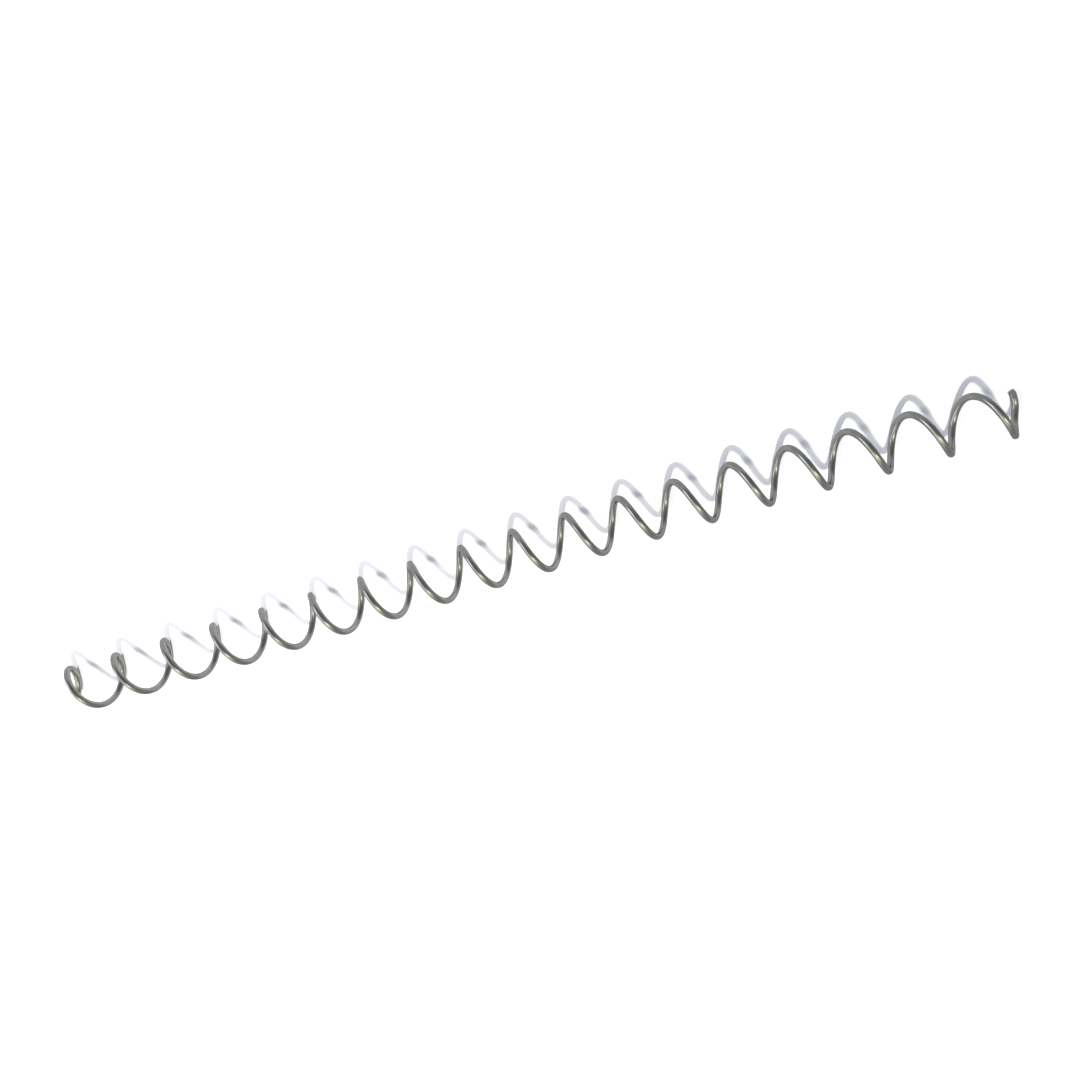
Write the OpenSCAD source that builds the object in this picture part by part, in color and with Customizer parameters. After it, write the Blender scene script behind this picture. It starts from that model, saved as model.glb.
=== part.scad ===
// Helical spring: one length of round spring wire, coiled wide open, with plain cut ends.
// It lies on its side. +X runs along the coil, +Z is up, and the origin is on the surface
// that the coil lies on, under the middle of its length and width. Sizes are in millimetres.

/* [Wire] */
// Diameter of the spring wire
wire_d = 2; // [0.8:0.1:3]

/* [Coil] */
// Outer diameter of the coil
coil_od = 16; // [12:0.5:24]
// Full turns of wire
full_turns = 18; // [4:1:24]
// Arc of wire past the last full turn, in degrees
extra_arc = 69; // [0:1:359]
// Distance from turn to turn at the middle of the length
pitch_mid = 16.4; // [8:0.05:20]
// Distance from turn to turn at both ends, where the coil is a little more open
pitch_end = 17.9; // [8:0.05:20]
// Arc from the start of the wire to the underside that the coil lies on, in degrees
start_lift = 52.5; // [7.5:15:352.5]

/* [Set left in the coil by handling] */
// How far the middle of the coil bows sideways
bow = 0.95; // [0:0.05:3]
// How far the bow leans toward the finishing end: 0 is even, below 0 toward the starting end
bow_lean = 1.9; // [-2:0.1:2]
// How far a second, shorter bend goes back the other way
bend = 0.7; // [0:0.1:3]
// Where that bend is: -1 at the start, 0 at the middle, 1 at the finish
bend_place = 0.8; // [-1:0.05:1]
// How far that bend reaches along the coil, as a share of half the length
bend_reach = 0.2; // [0.05:0.05:1]
// How far the starting tip is pressed in toward the coil
start_press = 2; // [0:0.1:3]
// Arc of wire over which the start is pressed in, in degrees
start_press_arc = 600; // [45:5:720]
// How far the finishing tip is pressed in toward the coil
finish_press = 2.4; // [0:0.1:3]
// Arc of wire over which the finish is pressed in, in degrees
finish_press_arc = 50; // [45:5:720]

/* [Facets] */
// Rings of points in each turn
rings_per_turn = 24; // [16:2:26]
// Points around the wire
wire_sides = 12; // [6:1:12]

/* [Hidden] */
wire_r = wire_d / 2;
outer_r = coil_od / 2;
mean_r = outer_r - wire_r;
turn = 360;
total_arc = full_turns * turn + extra_arc;
total_turns = total_arc / turn;
ring_step = turn / rings_per_turn;

// With the lift given above, the rings stand half a step to each side of the lowest line, so
// that every turn lies on a short flat.
start_angle = turn / 2 - start_lift;

// Arc from the start of the wire at which each ring stands, with the last one at the cut tip
ring_arcs = concat([for (arc = [0 : ring_step : total_arc - ring_step / 2]) arc], [total_arc]);
tangent_arc = 1;

// Place along the wire, from -1 at its start to 1 at its finish
function share(arc) = 2 * arc / total_arc - 1;

// Distance along the axis, from a pitch that grows with the square of the distance to the middle
function free_x(arc) =
    total_turns / 2 * (pitch_mid * share(arc) + (pitch_end - pitch_mid) * pow(share(arc), 3) / 3);

// How far a place is pressed in: 0 where the press begins, all of it at the tip
function pressed(arc_to_tip, press, press_arc) = press * pow(max(0, 1 - arc_to_tip / press_arc), 2);

function pressed_x(arc) =
    free_x(arc)
    + pressed(arc, start_press, start_press_arc)
    - pressed(total_arc - arc, finish_press, finish_press_arc);

// How far the axis lies to the side: the long bow, less the shorter bend
function axis_y(arc) =
    bow * (1 - pow(share(arc), 2)) * (1 + bow_lean * share(arc))
    - bend * exp(-pow((share(arc) - bend_place) / bend_reach, 2));

// Direction away from the axis, counted from the top of the coil toward the front
function outward(arc) = [0, -sin(start_angle + arc), cos(start_angle + arc)];

function wire_centre(arc) = [pressed_x(arc), axis_y(arc), 0] + mean_r * outward(arc);

function unit(v) = v / norm(v);

function wire_direction(arc) =
    unit(wire_centre(arc + tangent_arc) - wire_centre(arc - tangent_arc));

// One round section of the wire, square to the wire, with a corner on the outside of the coil
function ring(arc) =
    let (along = wire_direction(arc),
         side = unit(cross(along, outward(arc))),
         out = cross(side, along))
    [for (corner = [0 : wire_sides - 1])
        let (turned = corner * turn / wire_sides)
        wire_centre(arc) + wire_r * (cos(turned) * out + sin(turned) * side)];

// Lowest and highest of the points along one axis, and the middle between them
function lowest(points, axis) = min([for (p = points) p[axis]]);
function highest(points, axis) = max([for (p = points) p[axis]]);
function middle(points, axis) = (lowest(points, axis) + highest(points, axis)) / 2;

module coil() {
    points = [for (arc = ring_arcs) each ring(arc)];
    last_ring = len(ring_arcs) - 1;
    walls = [for (i = [0 : last_ring - 1], j = [0 : wire_sides - 1])
        let (near = i * wire_sides, far = near + wire_sides, next = (j + 1) % wire_sides)
        each [[near + j, near + next, far + next], [near + j, far + next, far + j]]];
    start_face = [for (j = [wire_sides - 1 : -1 : 0]) j];
    finish_face = [for (j = [0 : wire_sides - 1]) last_ring * wire_sides + j];
    color("silver")
        translate([-middle(points, 0), -middle(points, 1), -lowest(points, 2)])
            polyhedron(points = points, faces = concat(walls, [start_face, finish_face]), convexity = 20);
}

coil();
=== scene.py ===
# Helical spring: a long coil of bright drawn steel wire, wound wide open, lying on its side.
# Everything is in metres. +X runs along the coil and the coil lies on z = 0.
import math

import bmesh
import bpy
from mathutils import Matrix, Vector


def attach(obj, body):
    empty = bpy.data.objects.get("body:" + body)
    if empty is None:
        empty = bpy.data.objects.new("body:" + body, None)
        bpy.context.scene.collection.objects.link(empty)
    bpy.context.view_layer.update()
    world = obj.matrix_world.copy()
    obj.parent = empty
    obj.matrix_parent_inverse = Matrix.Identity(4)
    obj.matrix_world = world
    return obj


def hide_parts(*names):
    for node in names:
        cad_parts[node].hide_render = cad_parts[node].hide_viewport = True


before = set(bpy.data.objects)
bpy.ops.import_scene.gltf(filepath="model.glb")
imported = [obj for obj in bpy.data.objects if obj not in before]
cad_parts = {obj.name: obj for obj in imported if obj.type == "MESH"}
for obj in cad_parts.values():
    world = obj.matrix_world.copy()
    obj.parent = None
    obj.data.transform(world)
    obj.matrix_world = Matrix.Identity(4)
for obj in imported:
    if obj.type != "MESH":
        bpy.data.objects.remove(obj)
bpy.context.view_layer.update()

# Spring wire
# One length of round spring steel wire, 2 mm thick, drawn bright through a die and coiled cold
# around a 12 mm core. It is sheared off square at both ends and nothing is fastened to it.
wire_radius = 0.001
coil_radius = 0.007
full_turns = 18
last_part_turn = math.radians(69)
whole_arc = full_turns * math.tau + last_part_turn
pitch_middle = 0.0164
pitch_ends = 0.0179
# How far round from the lowest line the starting tip lies
start_lift = math.radians(52.5)

# The set that handling has left: a slight bow, a shorter bend near the finishing end, and both
# tips pressed in. The bend's place and reach are shares of half the coil, counted from its middle.
bow = 0.00095
bow_lean = 1.9
bend = 0.0007
bend_place = 0.8
bend_reach = 0.2
start_press = 0.002
start_press_arc = math.radians(600)
finish_press = 0.0024
finish_press_arc = math.radians(50)

# How finely the wire is drawn, and how the shears leave the rim of a cut face
rings_per_turn = 96
wire_sides = 24
rim_round_least = 0.00008
rim_round_most = 0.00022
rim_lean = 0.7
rim_steps = 4
face_rings = 3

# The finish is given in millimetres along and across the wire
millimetres_per_metre = 1000


def pressed_in(arc_to_tip, press, press_arc):
    return press * max(0.0, 1 - arc_to_tip / press_arc) ** 2


def outward(arc):
    """The direction from the coil's axis to the wire. Every arc is counted from the starting tip."""
    angle = math.pi - start_lift + arc
    return Vector((0, -math.sin(angle), math.cos(angle)))


def wire_middle(arc):
    """The middle of the wire's section. The share goes from -1 at the start to 1 at the finish."""
    share = 2 * arc / whole_arc - 1
    turns = whole_arc / math.tau
    along = turns / 2 * (pitch_middle * share + (pitch_ends - pitch_middle) * share**3 / 3)
    along += pressed_in(arc, start_press, start_press_arc)
    along -= pressed_in(whole_arc - arc, finish_press, finish_press_arc)
    sideways = bow * (1 - share**2) * (1 + bow_lean * share)
    sideways -= bend * math.exp(-(((share - bend_place) / bend_reach) ** 2))
    return Vector((along, sideways, 0)) + coil_radius * outward(arc)


def wire_heading(arc):
    small_arc = math.radians(0.5)
    return (wire_middle(arc + small_arc) - wire_middle(arc - small_arc)).normalized()


def wire_ring(coil, arc, run, radius_at, ahead_at, cut_share):
    """One ring of points square to the wire, with its place in the straightened wire."""
    heading = wire_heading(arc)
    side = heading.cross(outward(arc)).normalized()
    out = side.cross(heading)
    ring = []
    for corner in range(wire_sides):
        angle = math.tau * corner / wire_sides
        spoke = math.cos(angle) * out + math.sin(angle) * side
        radius = radius_at(angle)
        ahead = ahead_at(angle)
        point = coil.verts.new(wire_middle(arc) + radius * spoke + ahead * heading)
        straightened = Vector((run + ahead, radius * math.cos(angle), radius * math.sin(angle)))
        point[straight_place] = straightened * millimetres_per_metre
        point[cut_mask] = cut_share
        ring.append(point)
    return ring


def rim_round(angle):
    """The shears roll the rim over on one side and leave it nearly sharp on the other."""
    return rim_round_least + (rim_round_most - rim_round_least) * (1 + math.cos(angle - rim_lean)) / 2


coil = bmesh.new()
straight_place = coil.verts.layers.float_vector.new("straight_place")
cut_mask = coil.verts.layers.float.new("cut_face")

# Rings from one tip to the other, short of the rounded rims
step_count = round(whole_arc / math.tau * rings_per_turn)
run_per_arc = math.hypot(coil_radius, pitch_middle / math.tau)
rim_arc = rim_round_most / run_per_arc
arcs = [rim_arc + (whole_arc - 2 * rim_arc) * step / step_count for step in range(step_count + 1)]
rings = []
run = rim_round_most
runs = []
for number, arc in enumerate(arcs):
    if number:
        run += (wire_middle(arc) - wire_middle(arcs[number - 1])).length
    runs.append(run)
    rings.append(wire_ring(coil, arc, run, lambda angle: wire_radius, lambda angle: 0.0, 0.0))


def cut_end(arc, run, way):
    """The rolled rim and the sheared face at one tip, going outward from the last ring."""
    end_rings = []
    for step in range(1, rim_steps + 1):
        turned = math.pi / 2 * step / rim_steps
        end_rings.append(wire_ring(
            coil, arc, run,
            lambda angle: wire_radius - rim_round(angle) * (1 - math.cos(turned)),
            lambda angle: way * (rim_round_most - rim_round(angle) * (1 - math.sin(turned))),
            step / rim_steps,
        ))
    for step in range(1, face_rings + 1):
        inward = 1 - step / (face_rings + 1)
        end_rings.append(wire_ring(
            coil, arc, run,
            lambda angle: (wire_radius - rim_round(angle)) * inward,
            lambda angle: way * rim_round_most,
            1.0,
        ))
    return end_rings


# The surface is laid out flat in rows, each one a length of the wire cut open along its side,
# with the two cut ends as discs in the last row
layout = coil.loops.layers.uv.new("OFBake")
rows = 13
rings_per_row = math.ceil(step_count / (rows - 1))
row_end_margin = 0.01
row_side_margin = 0.06
disc_reach = 0.42 / rows
disc_row_middle = (rows - 0.5) / rows
start_disc_middle = 0.25
finish_disc_middle = 0.75


def place_in_row(row, ring_number, corner):
    along = (ring_number - row * rings_per_row) / rings_per_row
    around = corner / wire_sides
    return (
        row_end_margin + (1 - 2 * row_end_margin) * along,
        (row + row_side_margin + (1 - 2 * row_side_margin) * around) / rows,
    )


def place_in_disc(disc_middle, share_out, corner):
    angle = math.tau * corner / wire_sides
    reach = disc_reach * share_out
    return disc_middle + reach * math.cos(angle), disc_row_middle + reach * math.sin(angle)


def join_rings(near, far, place_of):
    """Four-sided faces between two rings. place_of takes 0 for near or 1 for far, and a corner."""
    for corner in range(wire_sides):
        following = (corner + 1) % wire_sides
        face = coil.faces.new((near[corner], near[following], far[following], far[corner]))
        places = (
            place_of(0, corner),
            place_of(0, corner + 1),
            place_of(1, corner + 1),
            place_of(1, corner),
        )
        for loop, spot in zip(face.loops, places):
            loop[layout].uv = spot


for number in range(step_count):
    row = number // rings_per_row
    join_rings(
        rings[number], rings[number + 1],
        lambda far_side, corner: place_in_row(row, number + far_side, corner),
    )

for tip, way, disc_middle in ((0, -1, start_disc_middle), (-1, 1, finish_disc_middle)):
    end_rings = [rings[tip]] + cut_end(arcs[tip], runs[tip], way)
    for number in range(len(end_rings) - 1):
        join_rings(
            end_rings[number], end_rings[number + 1],
            lambda far_side, corner: place_in_disc(
                disc_middle, 1 - (number + far_side) / len(end_rings), corner
            ),
        )
    face = coil.faces.new(end_rings[-1])
    for corner, loop in enumerate(face.loops):
        loop[layout].uv = place_in_disc(disc_middle, 1 / len(end_rings), corner)

# The coil is centred over the origin and its lowest line touches the floor
lowest = [min(point.co[axis] for point in coil.verts) for axis in range(3)]
highest = [max(point.co[axis] for point in coil.verts) for axis in range(3)]
middle = Vector(((lowest[0] + highest[0]) / 2, (lowest[1] + highest[1]) / 2, lowest[2]))
bmesh.ops.translate(coil, verts=coil.verts, vec=-middle)
bmesh.ops.recalc_face_normals(coil, faces=coil.faces)

wire_mesh = bpy.data.meshes.new("spring_wire")
coil.to_mesh(wire_mesh)
coil.free()
wire_mesh.shade_smooth()
spring_wire = bpy.data.objects.new("spring_wire", wire_mesh)
bpy.context.scene.collection.objects.link(spring_wire)


def add_node(tree, kind, **settings):
    node = tree.nodes.new(kind)
    for name, value in settings.items():
        setattr(node, name, value)
    return node


def fine_noise(tree, place, stretch, scale, detail, roughness):
    """Noise in the straightened wire, stretched along and across it. The scale is per millimetre."""
    mapping = add_node(tree, "ShaderNodeMapping", vector_type="POINT")
    mapping.inputs["Scale"].default_value = stretch
    tree.links.new(place, mapping.inputs["Vector"])
    noise = add_node(tree, "ShaderNodeTexNoise")
    noise.inputs["Scale"].default_value = scale
    noise.inputs["Detail"].default_value = detail
    noise.inputs["Roughness"].default_value = roughness
    tree.links.new(mapping.outputs["Vector"], noise.inputs["Vector"])
    return noise.outputs["Fac"]


def spread(tree, value, from_low, from_high, to_low=0.0, to_high=1.0, smooth=False):
    """The value, moved from one range to another and held inside it."""
    course = "SMOOTHSTEP" if smooth else "LINEAR"
    node = add_node(tree, "ShaderNodeMapRange", interpolation_type=course)
    node.inputs["From Min"].default_value = from_low
    node.inputs["From Max"].default_value = from_high
    node.inputs["To Min"].default_value = to_low
    node.inputs["To Max"].default_value = to_high
    tree.links.new(value, node.inputs["Value"])
    return node.outputs["Result"]


def mix_colour(tree, share, first, second, blend="MIX"):
    """First where the share is 0, second where it is 1. Each is a colour or an output."""
    node = add_node(tree, "ShaderNodeMix", data_type="RGBA", blend_type=blend)
    sockets = (node.inputs["Factor"], node.inputs[6], node.inputs[7])
    for socket, value in zip(sockets, (share, first, second)):
        if isinstance(value, float):
            socket.default_value = value
        elif isinstance(value, tuple):
            socket.default_value = value + (1.0,)
        else:
            tree.links.new(value, socket)
    return node.outputs[2]


def mathed(tree, operation, first, second):
    node = add_node(tree, "ShaderNodeMath", operation=operation)
    for socket, value in zip(node.inputs, (first, second)):
        if isinstance(value, (int, float)):
            socket.default_value = value
        else:
            tree.links.new(value, socket)
    return node.outputs["Value"]


# Bright drawn steel: clean grey metal with lines along the wire from the die, a burnished track
# where the coiling tools pressed, faint brown of drawing soap, and small nicks from handling
clean_steel = (0.305, 0.308, 0.306)
soapy_steel = (0.274, 0.268, 0.248)
grazing_tint = (0.5, 0.5, 0.5, 1.0)
die_line_shade = (0.86, 0.86, 0.87)
no_shade = (1.0, 1.0, 1.0)
nick_colour = (0.14, 0.137, 0.123)
cut_dark = (0.15, 0.15, 0.148)
cut_pale = (0.26, 0.26, 0.257)

# Roughness of the drawn surface, and what the track, the soap and the shears take off or add
smoothest_line = 0.17
roughest_line = 0.25
track_polish = 0.06
soap_roughness = 0.04
cut_roughness = 0.08

# Heights of the relief in millimetres
die_line_height = 0.004
nick_depth = 0.012
cut_grain_height = 0.03

steel = bpy.data.materials.new("bright_drawn_steel")
steel.use_nodes = True
tree = steel.node_tree
shader = tree.nodes["Principled BSDF"]
shader.inputs["Metallic"].default_value = 1.0
shader.inputs["Specular Tint"].default_value = grazing_tint

place_node = add_node(tree, "ShaderNodeAttribute", attribute_name="straight_place")
place = place_node.outputs["Vector"]
cut_node = add_node(tree, "ShaderNodeAttribute", attribute_name="cut_face")
cut_share = cut_node.outputs["Fac"]
across = add_node(tree, "ShaderNodeSeparateXYZ")
tree.links.new(place, across.inputs["Vector"])

die_lines = fine_noise(tree, place, stretch=(0.05, 1.0, 1.0), scale=9.0, detail=4.0, roughness=0.7)
soap_stain = fine_noise(tree, place, stretch=(0.35, 1.0, 1.0), scale=0.9, detail=5.0, roughness=0.6)
nick_noise = fine_noise(tree, place, stretch=(0.6, 1.0, 1.0), scale=3.1, detail=2.0, roughness=0.4)
cut_grain = fine_noise(tree, place, stretch=(1.0, 1.0, 1.0), scale=14.0, detail=4.0, roughness=0.7)
nicks = spread(tree, nick_noise, 0.70, 0.76, smooth=True)
burnished = spread(tree, across.outputs["Y"], 0.80, 0.96, smooth=True)
stain_share = spread(tree, soap_stain, 0.38, 0.68, smooth=True)
line_share = spread(tree, die_lines, 0.35, 0.65)

steel_colour = mix_colour(tree, stain_share, clean_steel, soapy_steel)
line_colour = mix_colour(tree, line_share, die_line_shade, no_shade)
lined = mix_colour(tree, 1.0, steel_colour, line_colour, blend="MULTIPLY")
nicked = mix_colour(tree, nicks, lined, nick_colour)
cut_colour = mix_colour(tree, cut_grain, cut_dark, cut_pale)
tree.links.new(mix_colour(tree, cut_share, nicked, cut_colour), shader.inputs["Base Color"])

drawn_roughness = spread(tree, die_lines, 0.30, 0.70, smoothest_line, roughest_line)
track_share = mathed(tree, "MULTIPLY", burnished, track_polish)
soap_share = mathed(tree, "MULTIPLY", stain_share, soap_roughness)
sheared_share = mathed(tree, "MULTIPLY", cut_share, cut_roughness)
roughness = mathed(tree, "SUBTRACT", drawn_roughness, track_share)
roughness = mathed(tree, "ADD", roughness, soap_share)
roughness = mathed(tree, "ADD", roughness, sheared_share)
tree.links.new(roughness, shader.inputs["Roughness"])

line_relief = mathed(tree, "MULTIPLY", die_lines, die_line_height)
nick_relief = mathed(tree, "MULTIPLY", nicks, -nick_depth)
cut_relief = mathed(tree, "MULTIPLY", mathed(tree, "MULTIPLY", cut_grain, cut_share), cut_grain_height)
surface_height = mathed(tree, "ADD", mathed(tree, "ADD", line_relief, nick_relief), cut_relief)
relief = add_node(tree, "ShaderNodeBump")
relief.inputs["Strength"].default_value = 1.0
relief.inputs["Distance"].default_value = 1 / millimetres_per_metre
tree.links.new(surface_height, relief.inputs["Height"])
tree.links.new(relief.outputs["Normal"], shader.inputs["Normal"])

wire_mesh.materials.append(steel)
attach(spring_wire, "root")
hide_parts("coil")

# Floor
# A plain white sheet that the spring lies on. The lamps light it to white, so that only the spring's
# shadows show on it, and beyond them it is plain white without any light. Mirrored in the wire, it
# shows painted light and painted shade, given below.
floor_half = 6.0
floor_corners = [
    (-floor_half, -floor_half, 0),
    (floor_half, -floor_half, 0),
    (floor_half, floor_half, 0),
    (-floor_half, floor_half, 0),
]
floor_mesh = bpy.data.meshes.new("floor")
floor_mesh.from_pydata(floor_corners, [], [(0, 1, 2, 3)])
floor = bpy.data.objects.new("floor", floor_mesh)
bpy.context.scene.collection.objects.link(floor)

sheet_colour = (0.88, 0.88, 0.90)
# In the wire's mirror the sheet takes a darker copy of its colour, and painted light takes the place
# of its lighting. The glow colour serves both the faint glow and that painted light.
mirrored_sheet_colour = (0.30, 0.30, 0.30)
glow_and_painted_light_colour = (0.96, 0.99, 1.0, 1.0)
faint_glow = 0.02
far_colour = (1.0, 1.0, 1.0, 1.0)
shadows_end = 0.26
plain_from = 0.5

sheet_white = bpy.data.materials.new("white_sheet")
sheet_white.use_nodes = True
tree = sheet_white.node_tree
tree.nodes.clear()
floor_output = add_node(tree, "ShaderNodeOutputMaterial")
rays = add_node(tree, "ShaderNodeLightPath")
mirrored = rays.outputs["Is Glossy Ray"]
seen = mathed(tree, "MAXIMUM", rays.outputs["Is Camera Ray"], mirrored)
seen = mathed(tree, "MAXIMUM", seen, rays.outputs["Is Transmission Ray"])
floor_place = add_node(tree, "ShaderNodeNewGeometry")
floor_sides = add_node(tree, "ShaderNodeSeparateXYZ")
tree.links.new(floor_place.outputs["Position"], floor_sides.inputs["Vector"])

# Mirrored in the wire, the sheet shows a darker copy of its colour, so its shadows are faint, and
# painted light: a glow that is brightest close to the spring and toward the starting end, where the
# side lamp is, with painted shade on the side where the spring's shadows fall
lit_sheet = add_node(tree, "ShaderNodeBsdfDiffuse")
shown_colour = mix_colour(tree, mirrored, sheet_colour, mirrored_sheet_colour)
tree.links.new(shown_colour, lit_sheet.inputs["Color"])
# Painted light and painted shade on the mirrored sheet, set by place along and beside the spring
painted_light_along = spread(tree, floor_sides.outputs["X"], -0.25, 0.20, 1.04, 0.42)
painted_light_front = spread(tree, floor_sides.outputs["Y"], -0.025, -0.006, 0.66, 1.15, smooth=True)
painted_shade_back = spread(tree, floor_sides.outputs["Y"], 0.006, 0.020, 1.0, 0.40, smooth=True)
painted_sheet_light = mathed(tree, "MULTIPLY", painted_light_along, mathed(tree, "MULTIPLY", painted_light_front, painted_shade_back))
mirrored_painted_light = mathed(tree, "MULTIPLY", mirrored, painted_sheet_light)
seen_glow = mathed(tree, "MULTIPLY", seen, faint_glow)
# One glow carries the faint even glow that the camera sees and the painted light that the wire mirrors
glow = add_node(tree, "ShaderNodeEmission")
glow.inputs["Color"].default_value = glow_and_painted_light_colour
tree.links.new(mathed(tree, "ADD", seen_glow, mirrored_painted_light), glow.inputs["Strength"])
near_sheet = add_node(tree, "ShaderNodeAddShader")
tree.links.new(lit_sheet.outputs["BSDF"], near_sheet.inputs[0])
tree.links.new(glow.outputs["Emission"], near_sheet.inputs[1])

# Beyond the shadows the sheet turns plain white
far_sheet = add_node(tree, "ShaderNodeEmission")
far_sheet.inputs["Color"].default_value = far_colour
tree.links.new(seen, far_sheet.inputs["Strength"])
from_middle = add_node(tree, "ShaderNodeVectorMath", operation="LENGTH")
tree.links.new(floor_place.outputs["Position"], from_middle.inputs[0])
far_share = spread(tree, from_middle.outputs["Value"], shadows_end, plain_from, smooth=True)
whole_sheet = add_node(tree, "ShaderNodeMixShader")
tree.links.new(far_share, whole_sheet.inputs["Fac"])
tree.links.new(near_sheet.outputs["Shader"], whole_sheet.inputs[1])
tree.links.new(far_sheet.outputs["Emission"], whole_sheet.inputs[2])
tree.links.new(whole_sheet.outputs["Shader"], floor_output.inputs["Surface"])
floor_mesh.materials.append(sheet_white)


# Lights
# A small warm lamp high above the spring, and a soft one close by past the starting end. They
# light the sheet, and the wire doesn't mirror them: it mirrors soft patches of the room.
def add_lamp(name, place, aim, diameter, power, colour, spread_angle):
    lamp_data = bpy.data.lights.new(name, "AREA")
    lamp_data.shape = "DISK"
    lamp_data.size = diameter
    lamp_data.energy = power
    lamp_data.color = colour
    lamp_data.spread = math.radians(spread_angle)
    lamp = bpy.data.objects.new(name, lamp_data)
    lamp.location = place
    lamp.rotation_euler = (Vector(aim) - Vector(place)).to_track_quat("-Z", "Y").to_euler()
    lamp.visible_camera = False
    lamp.visible_glossy = False
    bpy.context.scene.collection.objects.link(lamp)


add_lamp(
    "high_lamp", place=(-0.016, -0.385, 1.753), aim=(0, 0, 0),
    diameter=0.13, power=24.5, colour=(1.0, 0.97, 0.93), spread_angle=180,
)
add_lamp(
    "side_lamp", place=(-0.262, 0.167, 0.277), aim=(-0.03, 0, 0),
    diameter=0.11, power=0.25, colour=(0.95, 0.92, 0.90), spread_angle=80,
)

# Room
# The camera sees plain white. The wire mirrors a pale room with soft patches of light past the
# starting end and overhead, dimmer where the camera stands. Its light on the sheet is bluish.
wall_colour = (0.55, 0.535, 0.49)
wall_foot_colour = (0.70, 0.70, 0.70)
wall_foot_height = 0.10
share_on_sheet = (0.366, 0.408, 0.520)
camera_sees = (1.0, 1.0, 1.0)

room = bpy.data.worlds.new("room")
bpy.context.scene.world = room
room.use_nodes = True
tree = room.node_tree
tree.nodes.clear()
room_output = add_node(tree, "ShaderNodeOutputWorld")
looking = add_node(tree, "ShaderNodeTexCoord")


def heading_of(azimuth, elevation):
    across_floor = math.cos(math.radians(elevation))
    return (
        across_floor * math.cos(math.radians(azimuth)),
        across_floor * math.sin(math.radians(azimuth)),
        math.sin(math.radians(elevation)),
    )


def add_patch(so_far, azimuth, elevation, sharpness, colour):
    """Adds a soft patch of light on the room's wall or ceiling to the colour so far."""
    toward = add_node(tree, "ShaderNodeVectorMath", operation="DOT_PRODUCT")
    tree.links.new(looking.outputs["Generated"], toward.inputs[0])
    toward.inputs[1].default_value = heading_of(azimuth, elevation)
    patch = mathed(tree, "POWER", mathed(tree, "MAXIMUM", toward.outputs["Value"], 0.0), sharpness)
    tinted = add_node(tree, "ShaderNodeVectorMath", operation="SCALE")
    tinted.inputs[0].default_value = colour
    tree.links.new(patch, tinted.inputs["Scale"])
    total = add_node(tree, "ShaderNodeVectorMath", operation="ADD")
    tree.links.new(so_far, total.inputs[0])
    tree.links.new(tinted.outputs["Vector"], total.inputs[1])
    return total.outputs["Vector"]


walls = add_node(tree, "ShaderNodeVectorMath", operation="ADD")
walls.inputs[0].default_value = wall_colour
lit_room = walls.outputs["Vector"]
# Past the starting end, low on one side and half way up on the other
lit_room = add_patch(lit_room, azimuth=160, elevation=19, sharpness=15.0, colour=(2.80, 3.02, 3.30))
lit_room = add_patch(lit_room, azimuth=-147, elevation=42, sharpness=8.0, colour=(1.90, 1.79, 1.50))
# Overhead, and high toward the finishing end
lit_room = add_patch(lit_room, azimuth=-93, elevation=82, sharpness=80.0, colour=(6.60, 6.05, 4.85))
lit_room = add_patch(lit_room, azimuth=-30, elevation=66, sharpness=40.0, colour=(1.90, 1.77, 1.45))
# The dim side where the camera stands
lit_room = add_patch(lit_room, azimuth=55, elevation=30, sharpness=4.0, colour=(-0.34, -0.29, -0.23))

# The foot of the wall is pale, as the sheet is
height = add_node(tree, "ShaderNodeSeparateXYZ")
tree.links.new(looking.outputs["Generated"], height.inputs["Vector"])
above_foot = spread(tree, height.outputs["Z"], 0.0, wall_foot_height, smooth=True)
room_and_foot = mix_colour(tree, above_foot, wall_foot_colour, lit_room)
rays = add_node(tree, "ShaderNodeLightPath")
dim_room = add_node(tree, "ShaderNodeVectorMath", operation="MULTIPLY")
tree.links.new(room_and_foot, dim_room.inputs[0])
dim_room.inputs[1].default_value = share_on_sheet
lighting = mix_colour(tree, rays.outputs["Is Diffuse Ray"], room_and_foot, dim_room.outputs["Vector"])
background_colour = mix_colour(tree, rays.outputs["Is Camera Ray"], lighting, camera_sees)
background = add_node(tree, "ShaderNodeBackground")
background.inputs["Strength"].default_value = 1.0
tree.links.new(background_colour, background.inputs["Color"])
tree.links.new(background.outputs["Background"], room_output.inputs["Surface"])

# Camera
# Held close above the spring, past its far side, and turned nearly upside down, as in the photo.
camera_data = bpy.data.cameras.new("camera")
camera_data.sensor_fit = "HORIZONTAL"
camera_data.sensor_width = 36.0
camera_data.lens = 31.0767
camera_data.clip_start = 0.01
camera = bpy.data.objects.new("camera", camera_data)
camera_place = Vector((0.0487588, 0.1284127, 0.2506006))
camera_aim = Vector((0.0111394, 0.0028744, 0.0080000))
camera_roll = math.radians(178.072)
facing = (camera_aim - camera_place).to_track_quat("-Z", "Y").to_matrix().to_4x4()
camera.matrix_world = Matrix.Translation(camera_place) @ facing @ Matrix.Rotation(camera_roll, 4, "Z")
bpy.context.scene.collection.objects.link(camera)
bpy.context.scene.camera = camera

bpy.context.scene.view_settings.view_transform = "Standard"
